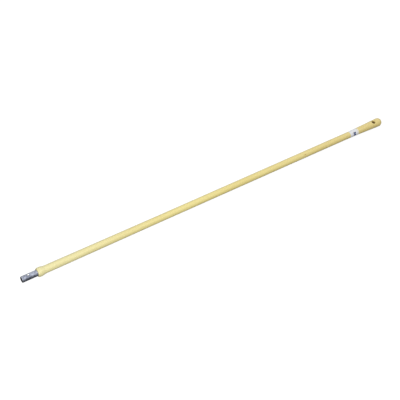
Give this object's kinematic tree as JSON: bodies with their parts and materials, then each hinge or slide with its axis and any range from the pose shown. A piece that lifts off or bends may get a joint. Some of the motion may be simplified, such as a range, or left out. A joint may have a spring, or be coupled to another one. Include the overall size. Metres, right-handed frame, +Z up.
{
  "type": "roller extension pole",
  "caption": "Turned wooden extension pole for a paint roller: flared collar, steel spigot with a sprung snap button, and a swollen round butt with a hanging hole.",
  "frame": {"origin": "centre of the bounding box at its lowest level: under the middle of the pole, on the surface that it lies on", "axes": "+X along the pole from the spigot to the butt, +Z up, which is the way the snap button points, +Y completes the right-handed frame"},
  "size_m": [1.582, 0.0334, 0.0333],
  "materials": {
    "lacquered_wood": "clear satin lacquer over pale straight-grained hardwood",
    "zinc_plated_steel": "dull zinc plate",
    "nose_plastic": "matt moulded",
    "nickel_plate": "bright nickel plate",
    "spring_steel": "oiled spring steel",
    "screw_steel": "zinc plated",
    "label_paper": "coated paper with a plain printed mark"
  },
  "bodies": {
    "pole": {"pole_shaft": "lacquered_wood", "spigot_tube": "zinc_plated_steel", "nose_plug": "nose_plastic", "button_spring": "spring_steel", "front_screw": "screw_steel", "rear_screw": "screw_steel", "size_label": "label_paper"},
    "button": {"snap_button": "nickel_plate"}
  },
  "joints": [
    {"name": "button_press", "type": "slide", "parent": "pole", "child": "button", "axis": [0, 0, -1], "range_m": [0, 0.0047], "stiffness_N_per_m": 2500, "springref_m": -0.002, "deforming": ["button_spring"]}
  ]
}
